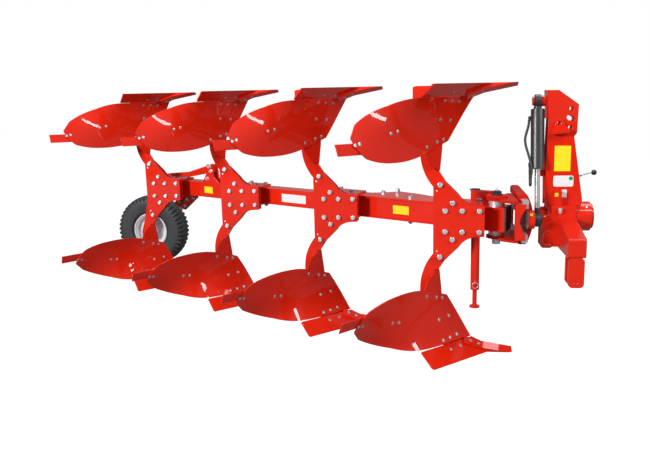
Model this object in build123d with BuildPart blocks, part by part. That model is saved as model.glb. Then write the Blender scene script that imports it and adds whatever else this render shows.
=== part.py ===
from build123d import *
from math import atan2, cos, degrees, hypot, radians, sin
import os

os.makedirs("parts", exist_ok=True)

# A mounted four-furrow reversible mouldboard plough, in millimetres.
# +X is the direction of travel, +Y is to the left, +Z is up.
# The origin is midway between the two lower hitch points, on the line of their pins.

# Hitch and headstock
turnover_height = 272
hitch_span = 1010
hitch_pin_hole = 29
lug_gap = 66
lug_plate = 22
lug_rear_x = -37
lug_front_x = 48
lug_bottom = -32
lug_corner = 24
arm_end_bottom = 138
arm_end_top = 240
arm_end_front = 54
arm_end_rear = -45
arm_end_corner = 10
arm_root_below = 174
arm_root_above = 6
arm_root_rear = -17
arm_root_y = 96
tower_gap = 70
tower_plate = 20
tower_top = 1040
tower_foot_above = 81
tower_heel_above = 60
top_link_hole = 29
top_link_places = ((43, 929), (39, 818))
top_link_slot_place = (40, 873)
top_link_slot_length = 52
top_link_slot_tilt = -28
ear_pin_place = (-29, 846)
ear_pin_hole = 24
housing_rear_x = -60
housing_front_x = 82
housing_half_width = 96
tube_outer_radius = 90
tube_front_x = 178
tube_rear_x = -80
shaft_radius = 60
shaft_fit = 0.05
shaft_neck_radius = 24
shaft_neck_front = -118
stop_y = -72
stop_width = 24

# Turnover cylinder and its crank
cylinder_x = -147
cylinder_top_z = 977
cylinder_eye_radius = 40
cylinder_eye_thickness = 34
crank_radius = 125
barrel_radius = 40
barrel_top_gap = 50
barrel_neck_radius = 24
barrel_length = 358
rod_bore_start = 80
rod_start = 330
rod_radius = 16
rod_eye_radius = 44
rod_eye_hole = 20
top_pin_radius = 20
crank_boss_radius = 57
side_gap = 1.5

# Yoke with its two slide rails, and the slide that carries the beam
rail_near_y = -125
rail_far_y = 315
rail_rear_x = -262
rail_front_x = -180
yoke_front = -170
rail_half_height = 154
carriage_near_y = -228
carriage_far_y = 128
carriage_plate = 12
carriage_face_x = -268
side_plate = 16
side_plate_rear = -288
side_plate_front = -226
clevis_height = 110
clevis_plate = 16
clevis_nose = 62
clevis_disc = 14
clevis_disc_radius = 66

# Beam, pivoted on an upright pin and swung to its parked angle
pin_x = -380
pin_y = -50
pin_radius = 25
pin_collar_radius = 48
swing_parked = -3.8
body_spacing = 850
body_step = 442
unit_count = 4
first_unit_x = -338
first_unit_y = -175
front_beam_size = 150
front_tube_half = 67
beam_plate = 12
rear_beam_size = 126
beam_wall = 10
beam_front_end = 86
beam_front_slant = 36
front_beam_tail = 250
rear_beam_tail = 215
end_cap = 12
side_bar_height = 72

# Leg plates, legs and brackets, in the frame of one unit
plate_near_y = 10
plate_thickness = 16
leg_thickness = 30
leg_fit = 0.1
plate_left = -41
plate_right = 265
plate_corner = 26
plate_tip = 245
pivot_bolt_z = 222
leg_foot = 112
frog_top = 306
frog_behind = 42
frog_thickness = 8
bracket_plate = 12

# Ploughing bodies, in the frame of one unit, with heights above the floor
throw_angle = 48.5
floor_depth = 820
board_thickness = 9
board_seat = 0.1
board_foot = 75
tail_bar_thickness = 8
share_thickness = 12
share_wing = -254
share_toe = 212
share_corner = 295
share_slope = 0.62
chisel_lead = -40
chisel_width = 62
chisel_reach = 252
chisel_thickness = 18
landside_thickness = 10

# Depth wheel
wheel_radius = 337
tyre_width = 208
rim_radius = 152
flange_radius = 168
wheel_behind = 327
wheel_aside = 672
wheel_lead = 118
wheel_pivot_radius = 30
wheel_arm_gap = 26
hub_radius = 58
spindle_radius = 22

# Parking stand
stand_x = -126
stand_y = -55.5
stand_tube_radius = 27
stand_leg_radius = 14
stand_foot_radius = 32
stand_tube_bottom = 450
stand_foot_z = 556
stand_foot_thickness = 10


def side(frame, y):
    """Upright plane along the frame's X. Extrusions go to the frame's right."""
    origin = frame.from_local_coords((0, y, 0))
    return Plane(origin=origin, x_dir=frame.x_dir, z_dir=-frame.y_dir)


def across(frame, x):
    """Upright plane across the frame's X. Extrusions go to the frame's front."""
    origin = frame.from_local_coords((x, 0, 0))
    return Plane(origin=origin, x_dir=frame.y_dir, z_dir=frame.x_dir)


def level(frame, z):
    """Level plane at a height of the frame. Extrusions go up."""
    origin = frame.from_local_coords((0, 0, z))
    return Plane(origin=origin, x_dir=frame.x_dir, z_dir=frame.z_dir)


def save(part, name):
    part.label = name
    export_step(part, "parts/" + name + ".step")


def turned_frame(origin, angle):
    return Plane(
        origin=origin,
        x_dir=(cos(radians(angle)), sin(radians(angle)), 0),
        z_dir=(0, 0, 1),
    )


# Frames: the headstock's own, the plough behind the upright pin, and the beam
head = Plane.XY
plough = turned_frame((pin_x, pin_y, turnover_height), swing_parked)
beam_angle = degrees(atan2(body_step, body_spacing))
beam = turned_frame((pin_x, pin_y, turnover_height), swing_parked - beam_angle)
unit_pitch = hypot(body_spacing, body_step)
beam_cos = body_spacing / unit_pitch
beam_sin = body_step / unit_pitch
beam_offset = -first_unit_x * beam_sin - first_unit_y * beam_cos
first_unit_along = first_unit_x * beam_cos - first_unit_y * beam_sin

unit_places = []
for unit in range(unit_count):
    place = plough.from_local_coords(
        (first_unit_x - unit * body_spacing, first_unit_y + unit * body_step, 0)
    )
    unit_places.append(Location(turned_frame(place, swing_parked)))
front_unit_places = unit_places[:2]
rear_unit_places = unit_places[2:]


def save_on_units(piece, name, places=unit_places):
    """One solid for each unit, all on the beam."""
    with BuildPart() as row:
        with Locations(*places):
            add(piece)
    save(row.part, name)


# Headstock
arm_root_bottom = turnover_height - arm_root_below
arm_root_top = turnover_height + arm_root_above
tower_foot = turnover_height + tower_foot_above
tower_heel = turnover_height + tower_heel_above

# Two upright tower plates with the top link holes
tower_outline = (
    (-103, tower_top),
    (-34, tower_top),
    (83, 954),
    (78, 786),
    (63, 764),
    (124, 379),
    (112, tower_heel),
    (housing_front_x, tower_heel),
    (housing_front_x, tower_foot),
    (housing_rear_x, tower_foot),
    (housing_rear_x, tower_heel),
    (-92, tower_heel),
    (-96, 500),
    (-87, 868),
)
tower_half = tower_gap / 2 + tower_plate
with BuildPart() as tower_plates:
    for face_y in (tower_half, -tower_gap / 2):
        with BuildSketch(side(head, face_y)):
            with BuildLine():
                Polyline(*tower_outline, close=True)
            make_face()
            with Locations(*top_link_places):
                Circle(top_link_hole / 2, mode=Mode.SUBTRACT)
            with Locations(Location(top_link_slot_place, top_link_slot_tilt)):
                SlotOverall(top_link_slot_length, top_link_hole, mode=Mode.SUBTRACT)
            with Locations(ear_pin_place):
                Circle(ear_pin_hole / 2, mode=Mode.SUBTRACT)
        extrude(amount=tower_plate)
    with BuildSketch(across(head, -200)):
        with Locations((0, turnover_height)):
            Circle(tube_outer_radius)
    extrude(amount=400, mode=Mode.SUBTRACT)
save(tower_plates.part, "tower_plates")

# Rear web that closes the tower, with the thick plate behind its top
web_thickness = 12
web_rear = -82
web_foot = turnover_height + tube_outer_radius + 10
with BuildPart() as tower_web:
    with BuildSketch(across(head, web_rear)):
        with Locations((0, (web_foot + tower_top) / 2)):
            Rectangle(tower_gap, tower_top - web_foot)
    extrude(amount=web_thickness)
    with BuildSketch(across(head, 74)):
        with Locations((0, 530)):
            Rectangle(tower_gap, 110)
    extrude(amount=16)
save(tower_web.part, "tower_web")

# Housing block around the turnover tube, with the two tapered arms
with BuildPart() as cross_member:
    with BuildSketch(side(head, housing_half_width)):
        with BuildLine():
            Polyline(
                (housing_rear_x, arm_root_bottom),
                (housing_front_x, arm_root_bottom),
                (housing_front_x, tower_foot),
                (housing_rear_x, tower_foot),
                close=True,
            )
        make_face()
    extrude(amount=2 * housing_half_width)
    for hand in (1, -1):
        with BuildSketch(side(head, hand * arm_root_y)):
            with BuildLine():
                Polyline(
                    (arm_root_rear, arm_root_bottom),
                    (housing_front_x, arm_root_bottom),
                    (housing_front_x, arm_root_top),
                    (arm_root_rear, arm_root_top),
                    close=True,
                )
            make_face()
        with BuildSketch(side(head, hand * (hitch_span / 2 + lug_gap / 2 + lug_plate + 5))):
            with BuildLine():
                Polyline(
                    (arm_end_rear, arm_end_bottom),
                    (arm_end_front, arm_end_bottom),
                    (arm_end_front, arm_end_top),
                    (arm_end_rear, arm_end_top),
                    close=True,
                )
            make_face()
        loft()
    end_faces = cross_member.faces().group_by(Axis.Y)
    fillet(end_faces[0].edges() + end_faces[-1].edges(), arm_end_corner)
    with BuildSketch(across(head, housing_rear_x)):
        with Locations((0, turnover_height)):
            Circle(tube_outer_radius)
    extrude(amount=housing_front_x - housing_rear_x, mode=Mode.SUBTRACT)
save(cross_member.part, "cross_member")

# Tube that carries the turnover shaft
with BuildPart() as turnover_tube:
    with BuildSketch(across(head, tube_rear_x)):
        with Locations((0, turnover_height)):
            Circle(tube_outer_radius)
            Circle(shaft_radius, mode=Mode.SUBTRACT)
    extrude(amount=tube_front_x - tube_rear_x)
save(turnover_tube.part, "turnover_tube")

# Four lower hitch lugs, two on each side
lug_sides = (
    hitch_span / 2 + lug_gap / 2 + lug_plate,
    hitch_span / 2 - lug_gap / 2,
    -hitch_span / 2 + lug_gap / 2 + lug_plate,
    -hitch_span / 2 - lug_gap / 2,
)
with BuildPart() as hitch_lugs:
    for lug_y in lug_sides:
        with BuildSketch(side(head, lug_y)) as lug_face:
            with Locations(((lug_rear_x + lug_front_x) / 2, (lug_bottom + arm_end_bottom) / 2)):
                Rectangle(lug_front_x - lug_rear_x, arm_end_bottom - lug_bottom)
            fillet(lug_face.vertices().group_by(Axis.Z)[0], lug_corner)
            Circle(hitch_pin_hole / 2, mode=Mode.SUBTRACT)
        extrude(amount=lug_plate)
    add(cross_member.part, mode=Mode.SUBTRACT)
save(hitch_lugs.part, "hitch_lugs")

# Thick plate, boss and pin that carry the top of the turnover cylinder
mount_plate_rear = -101
boss_front = mount_plate_rear
boss_rear = cylinder_x + cylinder_eye_thickness / 2 + side_gap
pin_tail = cylinder_x - cylinder_eye_thickness / 2 - side_gap
with BuildPart() as cylinder_mount:
    with BuildSketch(across(head, mount_plate_rear)):
        with Locations((0, 957)):
            Rectangle(60, 168)
    extrude(amount=web_rear - mount_plate_rear)
    with BuildSketch(across(head, boss_rear)):
        with Locations((0, cylinder_top_z)):
            Circle(32)
    extrude(amount=boss_front - boss_rear)
    with BuildSketch(across(head, pin_tail)):
        with Locations((0, cylinder_top_z)):
            Circle(top_pin_radius)
    extrude(amount=boss_rear - pin_tail)
    with BuildSketch(across(head, pin_tail - 12)):
        with Locations((0, cylinder_top_z)):
            Circle(27)
    extrude(amount=12)
save(cylinder_mount.part, "cylinder_mount")

# Small bracket with a ledge and a pierced ear on the tower's right face
ledge_depth = 46
with BuildPart() as tower_ledge:
    with BuildSketch(side(head, -tower_half)):
        with BuildLine():
            Polyline((-70, 800), (30, 806), (28, 790), (-72, 780), close=True)
        make_face()
    extrude(amount=ledge_depth)
    with BuildSketch(side(head, -tower_half)):
        with BuildLine():
            Polyline((-68, 800), (22, 806), (-8, 868), (-44, 866), close=True)
        make_face()
        with Locations(ear_pin_place):
            Circle(ear_pin_hole / 2, mode=Mode.SUBTRACT)
    extrude(amount=10)
save(tower_ledge.part, "tower_ledge")

# Sprung lock block beside the tower's foot
lock_height = 85
with BuildPart() as lock_block:
    with BuildSketch(level(head, tower_foot)):
        with Locations((-24, -tower_half - 20)):
            Rectangle(44, 40)
    extrude(amount=lock_height)
    with BuildSketch(across(head, -200)):
        with Locations((0, turnover_height)):
            Circle(tube_outer_radius)
    extrude(amount=400, mode=Mode.SUBTRACT)
save(lock_block.part, "lock_block")

# Turnover lock handle with its ball
handle_y = -20
with BuildPart() as lock_handle:
    with BuildSketch(across(head, 90)):
        with Locations((handle_y, 531)):
            Circle(8)
    extrude(amount=60)
    with BuildSketch(across(head, 150)):
        with Locations((handle_y, 536)):
            Circle(5)
    extrude(amount=34)
    with Locations((192, handle_y, 541)):
        Sphere(16)
save(lock_handle.part, "lock_handle")

# Turnover yoke: shaft, C-shaped slide rails and crank
half = rail_half_height
with BuildPart() as turnover_shaft:
    with BuildSketch(across(head, yoke_front)):
        with Locations((0, turnover_height)):
            Circle(shaft_neck_radius)
    extrude(amount=shaft_neck_front - yoke_front)
    with BuildSketch(across(head, shaft_neck_front)):
        with Locations((0, turnover_height)):
            Circle(shaft_radius - shaft_fit)
    extrude(amount=tube_front_x + side_gap - shaft_neck_front)
    with BuildSketch(across(head, tube_front_x + side_gap)):
        with Locations((0, turnover_height)):
            Circle(shaft_radius + 14)
    extrude(amount=14)
save(turnover_shaft.part, "turnover_shaft")

# One C-shaped section with curled edges, open to the rear, that runs across the plough
crank_boss_front = cylinder_x - cylinder_eye_thickness / 2 - side_gap
crank_boss_rear = rail_front_x - 24
with BuildPart() as slide_rails:
    with BuildSketch(side(head, rail_far_y)):
        for hand in (1, -1):
            with BuildLine():
                points = [
                    (x, turnover_height + hand * z)
                    for x, z in (
                        (yoke_front, 0),
                        (rail_front_x, half - 74),
                        (rail_front_x - 26, half - 6),
                        (rail_front_x - 36, half),
                        (rail_rear_x + 16, half),
                        (rail_rear_x + 4, half - 5),
                        (rail_rear_x, half - 17),
                        (rail_rear_x, half - 42),
                        (rail_rear_x + 8, half - 49),
                        (rail_rear_x + 16, half - 42),
                        (rail_rear_x + 16, half - 26),
                        (rail_front_x - 28, half - 26),
                        (rail_front_x - 24, 60),
                        (rail_front_x - 24, 0),
                    )
                ]
                ThreePointArc(points[0], points[1], points[2])
                Line(points[2], points[3])
                Line(points[3], points[4])
                ThreePointArc(points[4], points[5], points[6])
                Line(points[6], points[7])
                ThreePointArc(points[7], points[8], points[9])
                Polyline(*points[9:], points[0])
            make_face()
    extrude(amount=rail_far_y - rail_near_y)
    with BuildSketch(across(head, crank_boss_rear)):
        with Locations((-crank_radius, turnover_height)):
            Circle(crank_boss_radius)
    extrude(amount=crank_boss_front - crank_boss_rear, mode=Mode.SUBTRACT)
save(slide_rails.part, "slide_rails")

# Crank boss let into the near end of the rails, that the rod's eye stands against
with BuildPart() as crank_boss:
    with BuildSketch(across(head, crank_boss_rear)):
        with Locations((-crank_radius, turnover_height)):
            Circle(crank_boss_radius)
    extrude(amount=crank_boss_front - crank_boss_rear)
save(crank_boss.part, "crank_boss")

# Stops for the turnover, two blocks behind the housing
with BuildPart() as turnover_stops:
    for stop_rear, low_z, high_z in (
        (-104, turnover_height - 154, turnover_height - 88),
        (-112, turnover_height - 79, turnover_height + 28),
    ):
        with BuildSketch(side(head, stop_y)):
            with Locations(((stop_rear + housing_rear_x) / 2, (low_z + high_z) / 2)):
                Rectangle(housing_rear_x - stop_rear, high_z - low_z)
        extrude(amount=stop_width)
    with BuildSketch(across(head, -200)):
        with Locations((0, turnover_height)):
            Circle(tube_outer_radius)
    extrude(amount=400, mode=Mode.SUBTRACT)
save(turnover_stops.part, "turnover_stops")

# Turnover cylinder: barrel on its top pin, rod down to the crank
cylinder = Plane(
    origin=(cylinder_x, 0, cylinder_top_z),
    x_dir=(1, 0, 0),
    z_dir=(0, -crank_radius, turnover_height - cylinder_top_z),
)
cylinder_length = hypot(crank_radius, cylinder_top_z - turnover_height)
barrel_end = barrel_top_gap + barrel_length
with BuildPart() as cylinder_barrel:
    with BuildSketch(level(cylinder, barrel_top_gap - 16)):
        Circle(barrel_neck_radius)
    extrude(amount=16)
    with BuildSketch(level(cylinder, barrel_top_gap)):
        Circle(barrel_radius)
    extrude(amount=barrel_length)
    with BuildSketch(level(cylinder, rod_bore_start)):
        Circle(rod_radius + 0.3)
    extrude(amount=barrel_end - rod_bore_start, mode=Mode.SUBTRACT)
    with BuildSketch(across(head, cylinder_x - cylinder_eye_thickness / 2)):
        with Locations((0, cylinder_top_z)):
            Circle(cylinder_eye_radius)
    extrude(amount=cylinder_eye_thickness)
    with BuildSketch(across(head, cylinder_x - cylinder_eye_thickness / 2)):
        with Locations((0, cylinder_top_z)):
            Circle(top_pin_radius + 0.05)
    extrude(amount=cylinder_eye_thickness, mode=Mode.SUBTRACT)
save(cylinder_barrel.part, "cylinder_barrel")

eye_neck_length = 34
rod_end = cylinder_length - rod_eye_radius + 8 - eye_neck_length
with BuildPart() as cylinder_rod:
    with BuildSketch(level(cylinder, rod_start)):
        Circle(rod_radius)
    extrude(amount=rod_end - rod_start)
save(cylinder_rod.part, "cylinder_rod")

with BuildPart() as rod_eye:
    with BuildSketch(level(cylinder, rod_end)):
        Circle(rod_radius + 0.6)
    extrude(amount=eye_neck_length)
    with BuildSketch(across(head, cylinder_x - cylinder_eye_thickness / 2)):
        with Locations((-crank_radius, turnover_height)):
            Circle(rod_eye_radius)
    extrude(amount=cylinder_eye_thickness)
    with BuildSketch(across(head, cylinder_x + cylinder_eye_thickness / 2)):
        with Locations((-crank_radius, turnover_height)):
            Circle(26)
    extrude(amount=8)
save(rod_eye.part, "rod_eye")

# Hose from the barrel's upper port, down beside it and back up to its lower port
hose_radius = 7.5
hose_bend = 13
hose_low = 496
upper_port_depth = 92
lower_port_depth = 372
hose_down = (
    (-barrel_radius - 10, 0, upper_port_depth + 20),
    (-barrel_radius - 32, 0, 225),
    (-barrel_radius - 10, 24, 345),
    (-barrel_radius + 2, 34, 420),
    (-barrel_radius - 3, 2 * hose_bend, hose_low),
)
hose_turn = (
    (-barrel_radius - 3, 2 * hose_bend, hose_low),
    (-barrel_radius - 3, hose_bend, hose_low + hose_bend),
    (-barrel_radius - 3, 0, hose_low),
)
hose_up = (
    (-barrel_radius - 3, 0, hose_low),
    (-barrel_radius - 5, 6, 440),
    (-barrel_radius - 6, hose_bend, lower_port_depth + 20),
)
with BuildPart() as cylinder_hose:
    with BuildLine() as hose_path:
        down = [cylinder.from_local_coords(place) for place in hose_down]
        turn = [cylinder.from_local_coords(place) for place in hose_turn]
        back_up = [cylinder.from_local_coords(place) for place in hose_up]
        Spline(*down, tangents=[cylinder.z_dir, cylinder.z_dir])
        ThreePointArc(*turn)
        Spline(*back_up, tangents=[-cylinder.z_dir, -cylinder.z_dir])
    with BuildSketch(Plane(origin=down[0], z_dir=cylinder.z_dir)):
        Circle(hose_radius)
    sweep()
    for depth, aside in ((upper_port_depth, 0), (lower_port_depth, hose_bend)):
        with BuildSketch(level(cylinder, depth)):
            with Locations((-barrel_radius - 4, aside)):
                Rectangle(20, 20)
        extrude(amount=26)
    with BuildSketch(level(cylinder, 0)):
        Circle(barrel_radius + 0.05)
    extrude(amount=barrel_end, mode=Mode.SUBTRACT)
save(cylinder_hose.part, "cylinder_hose")

# Slide that hangs the beam in the rails
with BuildPart() as slide_bars:
    for sign in (1, -1):
        bar_profile = (
            (carriage_face_x, half - 74),
            (rail_front_x - 30, half - 74),
            (rail_front_x - 30, half - 26.1),
            (rail_rear_x + 16.1, half - 26.1),
            (rail_rear_x + 16.1, half - 49.1),
            (carriage_face_x, half - 49.1),
        )
        with BuildSketch(side(head, carriage_far_y)):
            with BuildLine():
                Polyline(*[(x, turnover_height + sign * z) for x, z in bar_profile], close=True)
            make_face()
        extrude(amount=carriage_far_y - carriage_near_y - side_plate)
save(slide_bars.part, "slide_bars")

with BuildPart() as slide_plate:
    with BuildSketch(across(head, carriage_face_x - carriage_plate)):
        with Locations(((carriage_near_y + side_plate + carriage_far_y) / 2, turnover_height)):
            Rectangle(carriage_far_y - carriage_near_y - side_plate, 2 * (clevis_height - 0.5))
            Rectangle(170, 110, mode=Mode.SUBTRACT)
    extrude(amount=carriage_plate)
    with BuildSketch(side(head, carriage_near_y + side_plate)):
        for hand in (1, -1):
            with BuildLine():
                points = [
                    (x, turnover_height + hand * z)
                    for x, z in (
                        (side_plate_rear, 0),
                        (side_plate_rear, clevis_height - 0.5),
                        (side_plate_front, clevis_height - 0.5),
                        (side_plate_front, 78),
                        (side_plate_front - 23, 44),
                        (side_plate_front - 36, 0),
                    )
                ]
                Polyline(*points[:4])
                ThreePointArc(points[3], points[4], points[5])
                Line(points[5], points[0])
            make_face()
    extrude(amount=side_plate)
save(slide_plate.part, "slide_plate")

clevis_face = carriage_face_x
clevis_outline = (
    (clevis_face, carriage_near_y),
    (clevis_face, carriage_far_y),
    (clevis_face - 30, carriage_far_y),
    (pin_x + 20, pin_y + clevis_nose + 4),
    (pin_x, pin_y + clevis_nose - 2),
    (pin_x, pin_y - clevis_nose + 2),
    (pin_x + 10, carriage_near_y + 60),
    (side_plate_rear, carriage_near_y),
)
with BuildPart() as swing_clevis:
    for base in (clevis_height, -clevis_height - clevis_plate):
        with BuildSketch(level(head, turnover_height + base)):
            with BuildLine():
                Polyline(*clevis_outline, close=True)
            make_face()
            with Locations((pin_x, pin_y)):
                Circle(clevis_nose)
                Circle(pin_radius, mode=Mode.SUBTRACT)
        extrude(amount=clevis_plate)
    with BuildSketch(level(head, turnover_height + clevis_height + clevis_plate)):
        with Locations((pin_x, pin_y)):
            Circle(clevis_disc_radius)
            Circle(pin_radius, mode=Mode.SUBTRACT)
    extrude(amount=clevis_disc)
save(swing_clevis.part, "swing_clevis")

# Upright pin with its collars against the beam, and the nut on top
pin_reach = clevis_height + clevis_plate
pin_top = pin_reach + clevis_disc
with BuildPart() as swing_pin:
    with BuildSketch(level(plough, -pin_reach)):
        Circle(pin_radius)
    extrude(amount=pin_reach + pin_top)
    for base in (front_beam_size / 2 + 0.5, -clevis_height + 0.1):
        with BuildSketch(level(plough, base)):
            Circle(pin_collar_radius)
        extrude(amount=clevis_height - front_beam_size / 2 - 0.6)
    with BuildSketch(level(plough, -pin_reach - 8)):
        Circle(36)
    extrude(amount=8)
    with BuildSketch(level(plough, -pin_reach - 40)):
        RegularPolygon(25, 6)
    extrude(amount=32)
save(swing_pin.part, "swing_pin")

with BuildPart() as pin_nut:
    with BuildSketch(level(plough, pin_top)):
        Circle(34)
    extrude(amount=7)
    with BuildSketch(level(plough, pin_top + 7)):
        RegularPolygon(28, 6)
    extrude(amount=18)
    with BuildSketch(level(plough, pin_top + 25)):
        Circle(16)
    extrude(amount=5)
save(pin_nut.part, "pin_nut")

# Beam: a tube in two lengths, held between top and bottom plates as far as the second unit
first_along = first_unit_along
joint_along = first_along - front_beam_tail
rear_end = first_along - (unit_count - 1) * unit_pitch - rear_beam_tail
front_half = front_beam_size / 2
rear_half = rear_beam_size / 2
tube_half = front_half - beam_plate
boss_radius = 45
end_slope = beam_front_slant / front_beam_size
with BuildPart() as front_beam:
    with BuildSketch(level(beam, -tube_half)):
        with BuildLine():
            Polyline(
                (beam_front_end - end_slope * (front_half - front_tube_half), -front_tube_half),
                (beam_front_end - end_slope * (front_half + front_tube_half), front_tube_half),
                (joint_along, front_tube_half),
                (joint_along, -front_tube_half),
                close=True,
            )
        make_face()
    extrude(amount=2 * tube_half)
    with BuildSketch(across(beam, joint_along)):
        Rectangle(2 * (front_tube_half - beam_wall), 2 * (tube_half - beam_wall))
    extrude(amount=beam_front_end + 100 - joint_along, mode=Mode.SUBTRACT)
    with BuildSketch(level(beam, -front_half)):
        Circle(boss_radius)
    extrude(amount=2 * front_half)
    with BuildSketch(level(beam, -clevis_height)):
        Circle(pin_radius + 0.05)
    extrude(amount=2 * clevis_height, mode=Mode.SUBTRACT)
save(front_beam.part, "front_beam")

with BuildPart() as rear_beam:
    with BuildSketch(across(beam, rear_end)):
        Rectangle(rear_beam_size, rear_beam_size)
        Rectangle(
            rear_beam_size - 2 * beam_wall,
            rear_beam_size - 2 * beam_wall,
            mode=Mode.SUBTRACT,
        )
    extrude(amount=joint_along - 0.5 - rear_end)
save(rear_beam.part, "rear_beam")

# Plates above and below the tube, wider on the far side behind the first unit
splice_rear = first_along - unit_pitch - 165
far_edge = (
    (-1010, 0),
    (-935, 55),
    (-865, 150),
    (-690, 115),
    (-545, 65),
    (-340, 70),
    (-210, 45),
    (-130, 0),
)
with BuildPart() as splice_plates:
    for base in (tube_half, -front_half):
        with BuildSketch(level(beam, base)):
            with BuildLine():
                Polyline(
                    (beam_front_end, -front_half),
                    (splice_rear, -front_half),
                    (splice_rear, front_half),
                    *[(along, front_half + out) for along, out in far_edge],
                    (beam_front_end - beam_front_slant, front_half),
                    close=True,
                )
            make_face()
            Circle(boss_radius + 0.2, mode=Mode.SUBTRACT)
        extrude(amount=beam_plate)
save(splice_plates.part, "splice_plates")

# Square bar on the plates, beside the upright pin
with BuildPart() as side_bar:
    with BuildSketch(level(beam, front_half)):
        with Locations((-155, front_half + 26)):
            Rectangle(136, 44)
    extrude(amount=side_bar_height)
    with BuildSketch(across(beam, -223)):
        with Locations((front_half + 26, front_half + side_bar_height / 2 + 8)):
            Rectangle(34, 40)
    extrude(amount=130, mode=Mode.SUBTRACT)
save(side_bar.part, "side_bar")

with BuildPart() as beam_caps:
    with BuildSketch(level(beam, -front_half + 2)):
        with BuildLine():
            Polyline(
                (beam_front_end, -front_half),
                (beam_front_end + end_cap, -front_half),
                (beam_front_end - beam_front_slant + end_cap, front_half),
                (beam_front_end - beam_front_slant, front_half),
                close=True,
            )
        make_face()
    extrude(amount=front_beam_size - 4)
save(beam_caps.part, "beam_cap")

# One unit: plates that hold both legs, and the brackets on the beam
plate_far_y = plate_near_y + plate_thickness + leg_thickness + 2 * leg_fit
leg_near_y = plate_near_y + plate_thickness + leg_fit
outer_far_y = plate_far_y + plate_thickness
unit_frame = Plane.XY
for name, first_y in (("near_leg_plates", plate_near_y), ("far_leg_plates", plate_far_y)):
    with BuildPart() as leg_plate:
        with BuildSketch(side(unit_frame, first_y + plate_thickness)) as plate_face:
            for hand in (1, -1):
                with BuildLine():
                    Line((plate_left, 0), (plate_left, hand * 208))
                    ThreePointArc(
                        (plate_left, hand * 208),
                        (-24, hand * 236),
                        (2, hand * plate_tip),
                    )
                    Line((2, hand * plate_tip), (28, hand * (plate_tip - 1)))
                    Line((28, hand * (plate_tip - 1)), (112, hand * 160))
                    ThreePointArc((112, hand * 160), (152, hand * 117), (205, hand * 96))
                    Line((205, hand * 96), (plate_right, hand * 92))
                    Line((plate_right, hand * 92), (plate_right, 0))
                    Line((plate_right, 0), (plate_left, 0))
                make_face()
            corners = plate_face.vertices().filter_by_position(
                Axis.Z, 80, 100
            ) + plate_face.vertices().filter_by_position(Axis.Z, -100, -80)
            fillet([v for v in corners if v.X > plate_right - 5], plate_corner)
        extrude(amount=plate_thickness)
    save_on_units(leg_plate.part, name)

with BuildPart() as plate_spacer:
    with BuildSketch(side(unit_frame, plate_far_y)):
        with Locations((plate_right - 82, 0)):
            Rectangle(98, 2 * front_half - 12)
    extrude(amount=plate_far_y - plate_near_y - plate_thickness)
save_on_units(plate_spacer.part, "plate_spacers")

# Brackets, seen from above, from the far leg plate to the beam
unit_beam = turned_frame((0, 0, 0), -beam_angle)
bracket_outline = [(plate_left, outer_far_y), (plate_right - 34, outer_far_y)]
for along, off in ((118, beam_offset + 78), (-118, beam_offset + 78), (-118, beam_offset - 70)):
    point = unit_beam.from_local_coords((along, off, 0))
    bracket_outline.append((point.X, point.Y))
stand_local = (stand_x - first_unit_x, stand_y - first_unit_y)
lean = beam_sin / beam_cos
for name, half_height, places in (
    ("front_unit_brackets", front_half, front_unit_places),
    ("rear_unit_brackets", rear_half, rear_unit_places),
):
    with BuildPart() as bracket:
        for base in (half_height, -half_height - bracket_plate):
            with BuildSketch(level(unit_frame, base)):
                with BuildLine():
                    Polyline(*bracket_outline, close=True)
                make_face()
                with Locations(stand_local):
                    Circle(stand_leg_radius + 1.5, mode=Mode.SUBTRACT)
            extrude(amount=bracket_plate)
        for along in (98, 62, -42):
            with BuildSketch(level(unit_frame, -half_height)):
                near = [
                    unit_beam.from_local_coords((along, beam_offset - front_half, 0)),
                    unit_beam.from_local_coords((along + 12, beam_offset - front_half, 0)),
                ]
                feet = [(p.X - (p.Y - outer_far_y) * lean, outer_far_y) for p in near]
                with BuildLine():
                    Polyline(
                        (near[0].X, near[0].Y),
                        (near[1].X, near[1].Y),
                        feet[1],
                        feet[0],
                        close=True,
                    )
                make_face()
            extrude(amount=2 * half_height)
    save_on_units(bracket.part, name, places)

# Mouldboard, shin and tail bar are cut from one curved shell across the throw.
# The throw frame stands on the floor under the unit, so heights count up from there.
clearing = 4 * body_spacing
ground = Plane(origin=(0, 0, -floor_depth), x_dir=(1, 0, 0), z_dir=(0, 0, 1))
throw = turned_frame((0, 0, -floor_depth), throw_angle)
section_heights = (440, 250, 58)
board_sections = (
    (230, -30, 2, 108),
    (-30, -22, 0, 104),
    (-220, 12, 8, 88),
    (-400, 46, 14, 14),
    (-830, 102, 22, -120),
)


def shell_part(front, back):
    """Curved shell between two distances ahead of the board's face."""
    top_z, middle_z, foot_z = section_heights
    with BuildPart() as shell:
        for along, top_p, middle_p, foot_p in board_sections:
            with BuildSketch(across(throw, along)):
                with BuildLine():
                    ThreePointArc(
                        (-top_p - front, top_z),
                        (-middle_p - front, middle_z),
                        (-foot_p - front, foot_z),
                    )
                    Line((-foot_p - front, foot_z), (-foot_p - back, foot_z))
                    ThreePointArc(
                        (-foot_p - back, foot_z),
                        (-middle_p - back, middle_z),
                        (-top_p - back, top_z),
                    )
                    Line((-top_p - back, top_z), (-top_p - front, top_z))
                make_face()
        loft()
    return shell.part


board_back = -board_thickness - board_seat
board_shell = shell_part(0, -board_thickness)
strip_shell = shell_part(board_back, board_back - tail_bar_thickness)
board_space = shell_part(400, board_back)

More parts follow.
